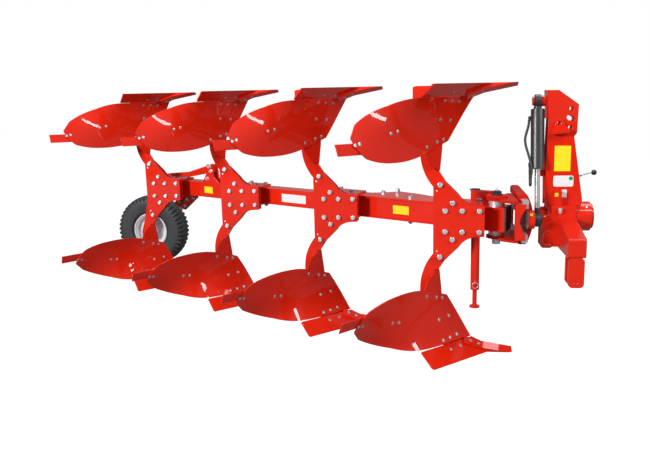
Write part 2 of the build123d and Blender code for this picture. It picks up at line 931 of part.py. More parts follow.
with BuildPart() as mouldboard:
    add(board_shell)
    with BuildSketch(side(throw, 400)):
        with BuildLine():
            ThreePointArc((16, 364), (-29, 379), (-177, 417))
            ThreePointArc((-177, 417), (-301, 430), (-423, 429))
            ThreePointArc((-423, 429), (-529, 417), (-615, 393))
            ThreePointArc((-615, 393), (-665, 348), (-697, 278))
            Line((-697, 278), (-633, 210))
            ThreePointArc((-633, 210), (-520, 152), (-408, 112))
            ThreePointArc((-408, 112), (-320, 85), (-225, board_foot))
            Line((-225, board_foot), (80, board_foot))
            ThreePointArc((80, board_foot), (52, 220), (16, 364))
        make_face()
    extrude(amount=800, mode=Mode.INTERSECT)

with BuildPart() as shin:
    add(board_shell)
    with BuildSketch(side(throw, 400)):
        with BuildLine():
            ThreePointArc((17, 363), (53, 220), (81, board_foot))
            Line((81, board_foot), (190, board_foot))
            ThreePointArc((190, board_foot), (150, 220), (91, 339))
            Line((91, 339), (17, 363))
        make_face()
    extrude(amount=800, mode=Mode.INTERSECT)

with BuildPart() as tail_bar:
    add(strip_shell)
    with BuildSketch(side(throw, 400)):
        with BuildLine():
            Polyline((-585, 368), (-811, 364), (-811, 302), (-585, 306), close=True)
        make_face()
    extrude(amount=800, mode=Mode.INTERSECT)

# Share, a flat plate on the slope, and the point that lies over its front corner
slope_length = hypot(1, share_slope)
ahead = -throw.y_dir
edge_point = ahead * share_toe + Vector(0, 0, -floor_depth)
share_normal = ahead * (share_slope / slope_length) + Vector(0, 0, 1 / slope_length)
share_frame = Plane(origin=edge_point, x_dir=throw.x_dir, z_dir=share_normal)
share_height = (board_foot - 1.5) * slope_length / share_slope
with BuildPart() as share:
    with BuildSketch(level(share_frame, 0)):
        with BuildLine():
            Polyline(
                (share_wing, 0),
                (share_corner, 0),
                (share_corner - 104, share_height),
                (share_wing + 12, share_height),
                close=True,
            )
        make_face()
    extrude(amount=-share_thickness)
    with BuildSketch(level(ground, 0)):
        Rectangle(clearing, clearing)
    extrude(amount=-100, mode=Mode.SUBTRACT)

chisel_frame = Plane(
    origin=share_frame.from_local_coords((138.8, 94, 0)),
    x_dir=share_frame.x_dir * cos(radians(chisel_lead))
    + share_frame.y_dir * sin(radians(chisel_lead)),
    z_dir=share_frame.z_dir,
)
with BuildPart() as chisel:
    with BuildSketch(side(chisel_frame, chisel_width / 2)):
        with BuildLine():
            Polyline(
                (-48, 0.3),
                (-48, chisel_thickness),
                (60, chisel_thickness),
                (chisel_reach, 52),
                (chisel_reach, 0.3),
                close=True,
            )
        make_face()
    extrude(amount=chisel_width)
    with BuildSketch(level(ground, 0)):
        Rectangle(clearing, clearing)
    extrude(amount=-100, mode=Mode.SUBTRACT)

# Room for the share and the board, cut out of what stands behind them
with BuildPart() as share_space:
    with BuildSketch(side(share_frame, share_height + 1)):
        with Locations((0, 150 - share_thickness - 0.1)):
            Rectangle(clearing, 300)
    extrude(amount=1200)
with BuildPart() as board_clear:
    add(board_space)
    with BuildSketch(level(ground, 372)):
        Rectangle(clearing, clearing)
    extrude(amount=200, mode=Mode.SUBTRACT)

# Lower leg of one unit, which curves back below the plates and is cut off behind the frog
leg_foot_z = leg_foot - floor_depth
with BuildPart() as leg:
    with BuildSketch(side(unit_frame, leg_near_y + leg_thickness)):
        with BuildLine():
            Polyline(
                (-38, -190),
                (50, -88),
                (98, -88),
                (108, -125),
                (30, -246),
                (-9, -frog_top),
                (4, -458),
                (40, -560),
                (60, leg_foot_z),
                (-105, leg_foot_z),
                (-121, leg_foot_z + 70),
                (-121, -420),
            )
            ThreePointArc((-121, -420), (-94, -292), (-41, -208))
            Line((-41, -208), (-38, -190))
        make_face()
    extrude(amount=leg_thickness)
    with BuildSketch(side(throw, frog_behind + 0.3)):
        with Locations((0, (floor_depth - frog_top) / 2)):
            Rectangle(1000, floor_depth - frog_top)
    extrude(amount=400, mode=Mode.SUBTRACT)
    add(board_clear.part, mode=Mode.SUBTRACT)
    add(share_space.part, mode=Mode.SUBTRACT)

# Frog: a plate behind the board, on two cheeks that hold the foot of the leg
frog_peak = floor_depth - frog_top
with BuildPart() as cheeks:
    with BuildSketch(side(throw, frog_behind)):
        with BuildLine():
            ThreePointArc((34, frog_peak), (-62, 452), (-99, 375))
            Line((-99, 375), (-99, 300))
            Line((-99, 300), (64, 300))
            Line((64, 300), (34, frog_peak))
        make_face()
    extrude(amount=frog_thickness)
    for face_y in (leg_near_y - 0.1, outer_far_y - 0.1):
        with BuildSketch(side(ground, face_y)):
            with BuildLine():
                Polyline(
                    (-20, 338),
                    (-90, 338),
                    (-97, 120),
                    (-70, 45),
                    (165, 20),
                    (165, 120),
                    (60, 260),
                    (4, 338),
                    close=True,
                )
            make_face()
        extrude(amount=plate_thickness - 0.1)
    with BuildSketch(side(throw, frog_behind - frog_thickness)):
        with Locations((0, 320)):
            Rectangle(1000, 40)
    extrude(amount=400, mode=Mode.SUBTRACT)
    add(board_clear.part, mode=Mode.SUBTRACT)
    add(share_space.part, mode=Mode.SUBTRACT)

with BuildPart() as landside:
    with BuildSketch(side(ground, outer_far_y + landside_thickness)):
        with BuildLine():
            Polyline(
                (-170, 14),
                (-170, 98),
                (-120, 120),
                (164, 120),
                (164, 8),
                (-150, 8),
                close=True,
            )
        make_face()
    extrude(amount=landside_thickness)
    add(board_clear.part, mode=Mode.SUBTRACT)
    add(share_space.part, mode=Mode.SUBTRACT)

# Stay from the leg to the back of the mouldboard
with BuildPart() as stay:
    with BuildSketch(level(ground, 230)):
        with BuildLine():
            Polyline(
                (-133, 44),
                (-121, 44),
                (-121, 22),
                (-216, -205),
                (-186, -205),
                (-270, -330),
                (-306, -330),
                (-246, -248),
                (-133, 24),
                close=True,
            )
        make_face()
    extrude(amount=56)
    add(board_space, mode=Mode.SUBTRACT)

# Lower pieces on all four units, and their mirror images above the beam
for piece, name in (
    (leg.part, "legs"),
    (mouldboard.part, "mouldboards"),
    (shin.part, "shins"),
    (tail_bar.part, "tail_bars"),
    (share.part, "shares"),
    (chisel.part, "points"),
    (cheeks.part, "frogs"),
    (landside.part, "landsides"),
    (stay.part, "stays"),
):
    save_on_units(piece, "lower_" + name)
    save_on_units(mirror(piece, about=Plane.XY), "upper_" + name)

# Parking stand in its tube under the front bracket
with BuildPart() as stand_tube:
    with BuildSketch(level(plough, -stand_tube_bottom)):
        with Locations((stand_x, stand_y)):
            Circle(stand_tube_radius)
            Circle(stand_leg_radius + 0.3, mode=Mode.SUBTRACT)
    extrude(amount=stand_tube_bottom - front_half - bracket_plate)
save(stand_tube.part, "stand_tube")

with BuildPart() as stand_leg:
    with BuildSketch(level(plough, -stand_foot_z)):
        with Locations((stand_x, stand_y)):
            Circle(stand_leg_radius)
    extrude(amount=stand_foot_z - 40)
    with BuildSketch(level(plough, -stand_foot_z - stand_foot_thickness)):
        with Locations((stand_x, stand_y)):
            Circle(stand_foot_radius)
    extrude(amount=stand_foot_thickness)
save(stand_leg.part, "stand_leg")

# Carrier of the depth wheel behind the beam
wheel_x = first_unit_x - (unit_count - 1) * body_spacing - wheel_behind
wheel_y = first_unit_y + (unit_count - 1) * body_step + wheel_aside
wheel_z = wheel_radius - floor_depth
wheel_pivot_x = wheel_x + wheel_lead
pivot_y = wheel_y - tyre_width / 2 - wheel_arm_gap
arm_thickness = 28
arm_near_y = pivot_y - arm_thickness
carrier_reach = arm_near_y - 1
with BuildPart() as wheel_carrier:
    with BuildSketch(level(plough, -45)):
        with BuildLine():
            corners = [
                plough.to_local_coords(beam.from_local_coords(place))
                for place in ((rear_end, -rear_half), (rear_end, rear_half))
            ]
            Polyline(
                (corners[0].X, corners[0].Y),
                (corners[1].X, corners[1].Y),
                (wheel_pivot_x + 70, carrier_reach),
                (wheel_pivot_x - 55, carrier_reach),
                (wheel_pivot_x - 55, carrier_reach - 60),
                close=True,
            )
        make_face()
    extrude(amount=90)
    with BuildSketch(side(plough, arm_near_y - 1)):
        with Locations((wheel_pivot_x, 0)):
            Circle(wheel_pivot_radius + 22)
    extrude(amount=40)
    with BuildSketch(side(plough, pivot_y + 9)):
        with Locations((wheel_pivot_x, 0)):
            Circle(wheel_pivot_radius)
    extrude(amount=arm_thickness + 30)
    with BuildSketch(side(plough, pivot_y + 9)):
        with Locations((wheel_pivot_x, 0)):
            Circle(wheel_pivot_radius + 10)
    extrude(amount=8)
save(wheel_carrier.part, "wheel_carrier")

# Frame above the beam that steadies the wheel's carrier
frame_front = first_along - (unit_count - 1) * unit_pitch + 562
frame_mast = frame_front - 100
frame_tail = rear_end + 66
mast_top = rear_half + 150
with BuildPart() as wheel_frame:
    for face_off in (34, -20):
        with BuildSketch(side(beam, face_off)):
            with BuildLine():
                Polyline(
                    (frame_front, rear_half),
                    (frame_mast + 46, rear_half + 44),
                    (frame_mast + 30, mast_top),
                    (frame_mast - 34, mast_top),
                    (frame_mast - 50, rear_half + 60),
                    (frame_front - 193, rear_half),
                    close=True,
                )
            make_face()
        extrude(amount=14)
    with BuildSketch(side(beam, 20)):
        with BuildLine():
            Polyline(
                (frame_mast + 24, mast_top - 8),
                (frame_mast - 24, mast_top - 8),
                (frame_mast - 300, rear_half + 70),
                (frame_tail, rear_half + 40),
                (frame_tail, rear_half),
                (frame_tail + 22, rear_half),
                (frame_tail + 22, rear_half + 17),
                (frame_mast - 300, rear_half + 26),
                (frame_mast + 24, mast_top - 64),
                close=True,
            )
        make_face()
    extrude(amount=40)
    under = -rear_half - bracket_plate
    with BuildSketch(side(beam, 34)):
        with BuildLine():
            Polyline(
                (frame_mast - 242, -rear_half),
                (frame_mast - 246, -rear_half - 34),
                (frame_mast - 425, -rear_half - 158),
                (frame_mast - 500, -rear_half - 146),
                (frame_mast - 545, -rear_half - 108),
                (frame_mast - 540, -rear_half - 76),
                (frame_mast - 440, under),
                (frame_mast - 324, under),
                (frame_mast - 324, -rear_half),
                close=True,
            )
        make_face()
    extrude(amount=14)
save(wheel_frame.part, "wheel_frame")

# Swinging arm of the depth wheel, with its spindle
arm_half = 42
arm_run = (wheel_x - wheel_pivot_x, -(floor_depth - wheel_radius))
arm_length = hypot(arm_run[0], arm_run[1])
arm_frame = Plane(
    origin=plough.from_local_coords((wheel_pivot_x, pivot_y, 0)),
    x_dir=plough.x_dir * arm_run[0] + plough.z_dir * arm_run[1],
    z_dir=-plough.y_dir,
)
with BuildPart() as wheel_arm:
    with BuildSketch(arm_frame):
        with Locations((arm_length / 2, 0)):
            Rectangle(arm_length, 2 * arm_half)
        Circle(wheel_pivot_radius + 28)
        with Locations((arm_length, 0)):
            Circle(arm_half + 6)
    extrude(amount=arm_thickness)
    with BuildSketch(arm_frame):
        Circle(wheel_pivot_radius + 0.05)
    extrude(amount=arm_thickness, mode=Mode.SUBTRACT)
save(wheel_arm.part, "wheel_arm")

hub_near_y = wheel_y - 70
hub_far_y = wheel_y + 62
with BuildPart() as wheel_spindle:
    with BuildSketch(side(plough, hub_far_y + 14)):
        with Locations((wheel_x, wheel_z)):
            Circle(spindle_radius - 0.05)
    extrude(amount=hub_far_y + 14 - pivot_y)
    with BuildSketch(side(plough, hub_far_y + 14)):
        with Locations((wheel_x, wheel_z)):
            Circle(spindle_radius + 10)
    extrude(amount=12)
    with BuildSketch(side(plough, hub_near_y - 2)):
        with Locations((wheel_x, wheel_z)):
            Circle(spindle_radius + 14)
    extrude(amount=hub_near_y - 2 - pivot_y)
save(wheel_spindle.part, "wheel_spindle")

# Rim, disc and hub turned about the wheel's axis, with its distances from the middle plane
wheel_centre = Plane(
    origin=plough.from_local_coords((wheel_x, wheel_y, wheel_z)),
    x_dir=plough.x_dir,
    z_dir=plough.z_dir,
)
rim_profile = (
    (spindle_radius, -70),
    (hub_radius, -70),
    (hub_radius, -24),
    (rim_radius - 26, -24),
    (rim_radius - 8, -40),
    (rim_radius - 8, -66),
    (flange_radius - 12, -76),
    (flange_radius - 8, -84),
    (flange_radius, -84),
    (flange_radius, -76),
    (rim_radius, -66),
    (rim_radius, -34),
    (rim_radius - 14, -26),
    (rim_radius - 14, 26),
    (rim_radius, 34),
    (rim_radius, 66),
    (flange_radius, 76),
    (flange_radius, 84),
    (flange_radius - 8, 84),
    (flange_radius - 12, 76),
    (rim_radius - 8, 66),
    (rim_radius - 8, 38),
    (rim_radius - 22, 28),
    (rim_radius - 22, -10),
    (rim_radius - 34, -14),
    (hub_radius, -14),
    (hub_radius, 62),
    (spindle_radius, 62),
)
wheel_axis = Axis(wheel_centre.origin, wheel_centre.y_dir)
with BuildPart() as wheel_rim:
    with BuildSketch(wheel_centre):
        with BuildLine():
            Polyline(*rim_profile, close=True)
        make_face()
    revolve(axis=wheel_axis)
save(wheel_rim.part, "wheel_rim")

tyre_half = tyre_width / 2
tyre_profile = (
    (rim_radius + 0.5, -65),
    (flange_radius + 1, -75),
    (flange_radius + 16, -tyre_half + 10),
    (flange_radius + 70, -tyre_half),
    (wheel_radius - 62, -tyre_half + 1),
    (wheel_radius - 26, -tyre_half + 12),
    (wheel_radius - 8, -tyre_half + 34),
    (wheel_radius, -32),
    (wheel_radius, 32),
    (wheel_radius - 8, tyre_half - 34),
    (wheel_radius - 26, tyre_half - 12),
    (wheel_radius - 62, tyre_half - 1),
    (flange_radius + 70, tyre_half),
    (flange_radius + 16, tyre_half - 10),
    (flange_radius + 1, 75),
    (rim_radius + 0.5, 65),
)
with BuildPart() as wheel_tyre:
    with BuildSketch(wheel_centre):
        with BuildLine():
            Polyline(*tyre_profile, close=True)
        make_face()
    revolve(axis=wheel_axis)
save(wheel_tyre.part, "wheel_tyre")
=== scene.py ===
import math

import bmesh
import bpy
from mathutils import Matrix, Vector


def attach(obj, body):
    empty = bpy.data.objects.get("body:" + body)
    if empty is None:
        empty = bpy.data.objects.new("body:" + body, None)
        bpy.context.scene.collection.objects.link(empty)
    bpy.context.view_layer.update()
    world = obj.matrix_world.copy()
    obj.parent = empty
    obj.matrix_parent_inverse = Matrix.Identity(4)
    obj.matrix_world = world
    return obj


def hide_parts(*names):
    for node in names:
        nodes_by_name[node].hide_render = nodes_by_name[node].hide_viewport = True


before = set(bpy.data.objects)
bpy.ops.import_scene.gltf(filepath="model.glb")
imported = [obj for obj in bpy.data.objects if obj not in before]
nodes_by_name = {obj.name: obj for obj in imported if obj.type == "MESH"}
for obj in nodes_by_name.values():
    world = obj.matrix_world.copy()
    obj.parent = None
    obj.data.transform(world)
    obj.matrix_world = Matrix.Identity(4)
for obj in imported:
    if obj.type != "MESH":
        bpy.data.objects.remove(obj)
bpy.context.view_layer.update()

scene = bpy.context.scene

D2R = math.pi / 180.0
FULL_TURN = 2.0 * math.pi
FRONT = Vector((1.0, 0.0, 0.0))
REAR = Vector((-1.0, 0.0, 0.0))
NEAR = Vector((0.0, -1.0, 0.0))
UP = Vector((0.0, 0.0, 1.0))
DOWN = Vector((0.0, 0.0, -1.0))

# Frames, the same as in the CAD source, in metres
UNIT_COUNT = 4
UNIT_PITCH = 0.850
UNIT_STEP_Y = 0.442
FIRST_UNIT_X = -0.338
FIRST_UNIT_Y = -0.175
SHAFT_Z = 0.272
SWING = -3.8 * D2R
PIN = Vector((-0.380, -0.050, SHAFT_Z))
BEAM_TURN = math.atan2(UNIT_STEP_Y, UNIT_PITCH)
PLOUGH = Matrix.Translation(PIN) @ Matrix.Rotation(SWING, 4, "Z")
BEAM = Matrix.Translation(PIN) @ Matrix.Rotation(SWING - BEAM_TURN, 4, "Z")
UNITS = [
    PLOUGH @ Matrix.Translation((FIRST_UNIT_X - UNIT_PITCH * i, FIRST_UNIT_Y + UNIT_STEP_Y * i, 0.0))
    for i in range(UNIT_COUNT)
]
FLIP = Matrix.Diagonal((1.0, 1.0, -1.0, 1.0))
THROW = 48.5 * D2R
BOARD_AHEAD = Vector((math.sin(THROW), -math.cos(THROW), 0.0))

# Camera, solved from the photograph
PHOTO_WIDTH = 650.0
FOCAL_PIXELS = 698.27
SENSOR_WIDTH = 36.0
CAMERA_YAW = 8.76 * D2R
CAMERA_PITCH = 10.67 * D2R
CAMERA_ROLL = 1.47 * D2R
CAMERA_PLACE = Vector((-0.7838, -4.4243, 1.0545))


def mm(*values):
    """A place or size given in millimetres."""
    return Vector([value / 1000.0 for value in values])


def make_camera():
    level = math.cos(CAMERA_PITCH)
    forward = Vector((-math.sin(CAMERA_YAW) * level, math.cos(CAMERA_YAW) * level, -math.sin(CAMERA_PITCH)))
    right = Vector((math.cos(CAMERA_YAW), math.sin(CAMERA_YAW), 0.0))
    down = forward.cross(right)
    rolled_right = math.cos(CAMERA_ROLL) * right + math.sin(CAMERA_ROLL) * down
    rolled_down = -math.sin(CAMERA_ROLL) * right + math.cos(CAMERA_ROLL) * down
    matrix = Matrix((rolled_right, -rolled_down, -forward)).transposed().to_4x4()
    matrix.translation = CAMERA_PLACE
    data = bpy.data.cameras.new("camera")
    data.sensor_width = SENSOR_WIDTH
    data.sensor_fit = "HORIZONTAL"
    data.lens = FOCAL_PIXELS / PHOTO_WIDTH * SENSOR_WIDTH
    data.clip_end = 100.0
    camera = bpy.data.objects.new("camera", data)
    camera.matrix_world = matrix
    scene.collection.objects.link(camera)
    bpy.context.scene.camera = camera


make_camera()


# Materials
def new_material(name):
    """A material, with the nodes and links of its tree and its shader."""
    material = bpy.data.materials.new(name)
    material.use_nodes = True
    nodes = material.node_tree.nodes
    return material, nodes, material.node_tree.links, nodes["Principled BSDF"]


def noise(nodes, links, coords, scale, detail, rough):
    texture = nodes.new("ShaderNodeTexNoise")
    texture.inputs["Scale"].default_value = scale
    texture.inputs["Detail"].default_value = detail
    texture.inputs["Roughness"].default_value = rough
    links.new(coords, texture.inputs["Vector"])
    return texture.outputs["Fac"]


def ramp(nodes, links, source, low, high):
    """A blend between two stops, each a place and a colour."""
    node = nodes.new("ShaderNodeValToRGB")
    for element, (place, colour) in zip(node.color_ramp.elements, (low, high)):
        element.position = place
        element.color = (*colour, 1.0)
    links.new(source, node.inputs["Fac"])
    return node.outputs["Color"]


def add_bump(nodes, links, shader, height, strength, distance):
    bump = nodes.new("ShaderNodeBump")
    bump.inputs["Strength"].default_value = strength
    bump.inputs["Distance"].default_value = distance
    links.new(height, bump.inputs["Height"])
    links.new(bump.outputs["Normal"], shader.inputs["Normal"])
    return bump


def scaled(colour, factor):
    return tuple(max(0.0, min(1.0, channel * factor)) for channel in colour)


def grey(value):
    return (value, value, value)


def painted(name, colour, roughness, spread, peel=0.0006, coat=0.25, dust=0.0, shine=0.5,
            coat_rough=0.03, edge=0.0):
    """Sprayed paint: slight colour drift, orange peel, a little dust and worn gloss."""
    material, nodes, links, shader = new_material(name)
    coords = nodes.new("ShaderNodeTexCoord").outputs["Object"]
    drift = noise(nodes, links, coords, scale=3.2, detail=4.0, rough=0.55)
    darker = scaled(colour, 1.0 - spread)
    lighter = scaled(colour, 1.0 + spread)
    tint = ramp(nodes, links, drift, (0.3, darker), (0.7, lighter))
    if dust:
        specks = noise(nodes, links, coords, scale=46.0, detail=6.0, rough=0.7)
        mask = ramp(nodes, links, specks, (0.56, grey(0.0)), (0.74, grey(dust)))
        mix = nodes.new("ShaderNodeMix")
        mix.data_type = "RGBA"
        links.new(mask, mix.inputs["Factor"])
        links.new(tint, mix.inputs["A"])
        mix.inputs["B"].default_value = (0.42, 0.38, 0.33, 1.0)
        tint = mix.outputs["Result"]
    links.new(tint, shader.inputs["Base Color"])
    wear = noise(nodes, links, coords, scale=9.0, detail=5.0, rough=0.6)
    gloss = ramp(nodes, links, wear, (0.3, grey(roughness * 0.8)), (0.75, grey(roughness * 1.35)))
    links.new(gloss, shader.inputs["Roughness"])
    shader.inputs["Specular IOR Level"].default_value = shine
    shader.inputs["Coat Weight"].default_value = coat
    shader.inputs["Coat Roughness"].default_value = coat_rough
    grain = noise(nodes, links, coords, scale=420.0, detail=2.0, rough=0.5)
    bump = add_bump(nodes, links, shader, grain, strength=0.25, distance=peel)
    if edge:
        soft = nodes.new("ShaderNodeBevel")
        soft.samples = 4
        soft.inputs["Radius"].default_value = edge
        links.new(soft.outputs["Normal"], bump.inputs["Normal"])
        links.new(soft.outputs["Normal"], shader.inputs["Coat Normal"])
    return material


def metal(name, colour, roughness, spread=0.12, grain_scale=60.0, scratch=0.0003):
    """Plated or bare steel with blotches and fine scratches."""
    material, nodes, links, shader = new_material(name)
    coords = nodes.new("ShaderNodeTexCoord").outputs["Object"]
    drift = noise(nodes, links, coords, scale=34.0, detail=4.0, rough=0.6)
    darker = scaled(colour, 1.0 - spread)
    lighter = scaled(colour, 1.0 + spread)
    links.new(ramp(nodes, links, drift, (0.3, darker), (0.7, lighter)), shader.inputs["Base Color"])
    shader.inputs["Metallic"].default_value = 0.75
    grain = noise(nodes, links, coords, scale=grain_scale, detail=5.0, rough=0.6)
    gloss = ramp(nodes, links, grain, (0.3, grey(roughness * 0.7)), (0.75, grey(roughness * 1.4)))
    links.new(gloss, shader.inputs["Roughness"])
    add_bump(nodes, links, shader, grain, strength=0.2, distance=scratch)
    return material


def rubber(name, colour, roughness):
    """Black rubber with dusty patches and a fine grain."""
    material, nodes, links, shader = new_material(name)
    coords = nodes.new("ShaderNodeTexCoord").outputs["Object"]
    drift = noise(nodes, links, coords, scale=14.0, detail=6.0, rough=0.65)
    tint = ramp(nodes, links, drift, (0.3, scaled(colour, 0.75)), (0.72, scaled(colour, 1.35)))
    links.new(tint, shader.inputs["Base Color"])
    shader.inputs["Roughness"].default_value = roughness
    grain = noise(nodes, links, coords, scale=240.0, detail=4.0, rough=0.6)
    add_bump(nodes, links, shader, grain, strength=0.35, distance=0.0006)
    return material


PAINT_EDGE = 0.0025
FILM_PEEL = 0.0002
RED = painted(
    "red_paint_look", (0.74, 0.018, 0.004), roughness=0.34, spread=0.05,
    coat=0.85, dust=0.01, shine=0.05, edge=PAINT_EDGE,
)
# The red paint with a darker base colour and less coat. The darker colour is painted shade for the slide
# rails and swing clevis, which sit in shadow
PAINTED_SHADE_RED = painted(
    "painted_shade_red_look", (0.55, 0.014, 0.004), roughness=0.5, spread=0.05,
    coat=0.12, dust=0.01, shine=0.04, edge=PAINT_EDGE,
)
BLACK = painted(
    "black_paint_look", (0.022, 0.024, 0.029), roughness=0.42, spread=0.2,
    peel=0.000004, coat=0.5, coat_rough=0.30, edge=PAINT_EDGE,
)
WHITE = painted("white_paint_look", (0.80, 0.83, 0.87), roughness=0.4, spread=0.04, dust=0.10)
YELLOW = painted("yellow_film", (1.0, 0.78, 0.02), roughness=0.3, spread=0.03, peel=FILM_PEEL, shine=0.3)
LABEL = painted("white_film", (0.84, 0.87, 0.88), roughness=0.3, spread=0.03, peel=FILM_PEEL)
GREEN = painted("green_film", (0.01, 0.30, 0.17), roughness=0.3, spread=0.03, peel=FILM_PEEL)
ZINC = metal("zinc_look", (0.76, 0.87, 0.92), roughness=0.38)
DULL_ZINC = metal("dull_zinc_look", (0.36, 0.41, 0.44), roughness=0.42)
BOLT = metal("bolt_look", (0.46, 0.57, 0.60), roughness=0.42)
CHROME = metal(
    "chrome_look", (0.82, 0.83, 0.85), roughness=0.12, spread=0.02, grain_scale=30.0, scratch=0.00002,
)
TYRE = rubber("tyre_look", (0.034, 0.036, 0.042), roughness=0.52)
HOSE = rubber("hose_look", (0.024, 0.024, 0.027), roughness=0.5)
KNOB = painted("knob_look", (0.010, 0.010, 0.011), roughness=0.2, spread=0.1)

# Looks of the CAD nodes that aren't in the common red
NODE_LOOKS = {
    "cylinder_barrel": BLACK,
    "cylinder_rod": CHROME,
    "rod_eye": BLACK,
    "cylinder_hose": HOSE,
    "lock_handle": ZINC,
    "beam_cap": BLACK,
    "swing_pin": ZINC,
    # Slide rails and swing clevis get the darker red, which is painted shade
    "slide_rails": PAINTED_SHADE_RED,
    "swing_clevis": PAINTED_SHADE_RED,
    "pin_nut": BLACK,
    "slide_bars": ZINC,
    "wheel_rim": WHITE,
    "wheel_tyre": TYRE,
    "wheel_spindle": ZINC,
}


def dress(obj, look):
    """Give all of an object's slots one look."""
    if obj.material_slots:
        for slot in obj.material_slots:
            slot.material = look
    else:
        obj.data.materials.append(look)


for node_name, node_object in nodes_by_name.items():
    dress(node_object, NODE_LOOKS.get(node_name, RED))


# Building helpers
def finish_piece(name, bm, look, body, sharp_angle=35.0):
    """Turn mesh code into an object that rides on a body."""
    bmesh.ops.recalc_face_normals(bm, faces=bm.faces)
    mesh = bpy.data.meshes.new(name)
    bm.to_mesh(mesh)
    bm.free()
    obj = bpy.data.objects.new(name, mesh)
    scene.collection.objects.link(obj)
    mesh.shade_smooth()
    mesh.set_sharp_from_angle(angle=sharp_angle * D2R)
    mesh.materials.append(look)
    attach(obj, body)
    return obj


def axes_at(place, normal, spin=0.0):
    """A frame whose Z points along the normal."""
    turn = Vector(normal).normalized().to_track_quat("Z", "Y").to_matrix().to_4x4()
    return Matrix.Translation(place) @ turn @ Matrix.Rotation(spin, 4, "Z")


def on_circle(radius, angle, height=0.0):
    return Vector((radius * math.cos(angle), radius * math.sin(angle), height))


def add_ring(bm, matrix, radius, height, sides):
    """Corners of a circle about Z."""
    return [
        bm.verts.new(matrix @ on_circle(radius, FULL_TURN * step / sides, height))
        for step in range(sides)
    ]


def join_rings(bm, rings):
    """Faces between each ring and the next."""
    for low, high in zip(rings, rings[1:]):
        count = len(low)
        for step in range(count):
            after = (step + 1) % count
            bm.faces.new((low[step], low[after], high[after], high[step]))


def skin(bm, rings):
    """Faces between the rings and over both ends."""
    join_rings(bm, rings)
    bm.faces.new(list(reversed(rings[0])))
    bm.faces.new(rings[-1])


def add_lathe(bm, matrix, profile, sides):
    """A closed form turned about Z, from pairs of radius and height."""
    skin(bm, [add_ring(bm, matrix, radius, height, sides) for radius, height in profile])


def add_tube(bm, points, radius, sides=14):
    """A round bar through the points."""
    points = [Vector(point) for point in points]
    rings = []
    for index, point in enumerate(points):
        ahead = points[min(index + 1, len(points) - 1)] - points[max(index - 1, 0)]
        rings.append(add_ring(bm, axes_at(point, ahead), radius, 0.0, sides))
    skin(bm, rings)


# How far a fastener starts below the face that it sits on
SINK = 0.001


def add_hex_bolt(bm, place, normal, flats, height, washer, spin):
    """Hexagon head with chamfered corners and a raised face, on a washer unless that is 0."""
    matrix = axes_at(place, normal, spin)
    base = -SINK
    if washer:
        add_lathe(bm, matrix, [(washer, base), (washer, 0.0026), (washer - 0.001, 0.0032)], 24)
        base = 0.0030
    top = base + height
    corner = flats / math.sqrt(3.0)
    face = corner * 0.80
    add_lathe(bm, matrix, [(corner, base), (corner, base + height * 0.82), (corner * 0.86, top)], 6)
    add_lathe(bm, matrix, [(face, base + height * 0.9), (face, top + 0.0006)], 16)


def add_nut(bm, place, normal, flats, height, stud, spin):
    """Nut on a washer, with the end of its bolt standing out."""
    matrix = axes_at(place, normal, spin)
    corner = flats / math.sqrt(3.0)
    washer = corner * 1.12
    edge = height - 0.002
    hexagon = [(corner * 0.9, 0.002), (corner, 0.004), (corner, edge), (corner * 0.88, height)]
    add_lathe(bm, matrix, [(washer, -SINK), (washer, 0.0028)], 24)
    add_lathe(bm, matrix, hexagon, 6)
    add_lathe(bm, matrix, [(stud, edge), (stud, height + 0.005), (stud - 0.002, height + 0.007)], 14)


def add_flush_bolt(bm, place, normal):
    """Countersunk plough bolt: a low dome, flush with the face."""
    radius = 0.0105
    dome = [
        (radius, -0.002), (radius, 0.0006), (radius * 0.86, 0.0014), (radius * 0.5, 0.0019),
        (0.0006, 0.0021),
    ]
    add_lathe(bm, axes_at(place, normal), dome, 20)


def add_nipple(bm, place, normal):
    """Grease nipple."""
    profile = [
        (0.006, -SINK), (0.006, 0.004), (0.0032, 0.006), (0.0032, 0.011), (0.0045, 0.013),
        (0.0018, 0.016),
    ]
    add_lathe(bm, axes_at(place, normal), profile, 12)


def add_film(bm, origin, across, up, width, height, corner):
    """A thin film with round corners, its lower left corner at the origin."""
    across, up = Vector(across).normalized(), Vector(up).normalized()
    normal = across.cross(up)
    front_lift, back_sink = 0.0005, 0.0003
    outline = []
    for centre_x, centre_y, start in (
        (width - corner, corner, -90),
        (width - corner, height - corner, 0),
        (corner, height - corner, 90),
        (corner, corner, 180),
    ):
        for step in range(4):
            angle = (start + 30.0 * step) * D2R
            outline.append((centre_x + corner * math.cos(angle), centre_y + corner * math.sin(angle)))
    front = [bm.verts.new(origin + across * x + up * y + normal * front_lift) for x, y in outline]
    back = [bm.verts.new(origin + across * x + up * y - normal * back_sink) for x, y in outline]
    skin(bm, [back, front])


def landing(place, direction, names, reach):
    """First point of the named solids that a ray meets, with the face's normal towards the ray."""
    direction = Vector(direction).normalized()
    hits = []
    for name in names:
        hit, spot, normal, _ = nodes_by_name[name].ray_cast(place, direction, distance=reach)
        if hit:
            hits.append(((spot - place).length, spot, normal))
    if not hits:
        return None
    _, spot, normal = min(hits, key=lambda entry: entry[0])
    if normal.dot(direction) > 0.0:
        normal = -normal
    return spot, normal


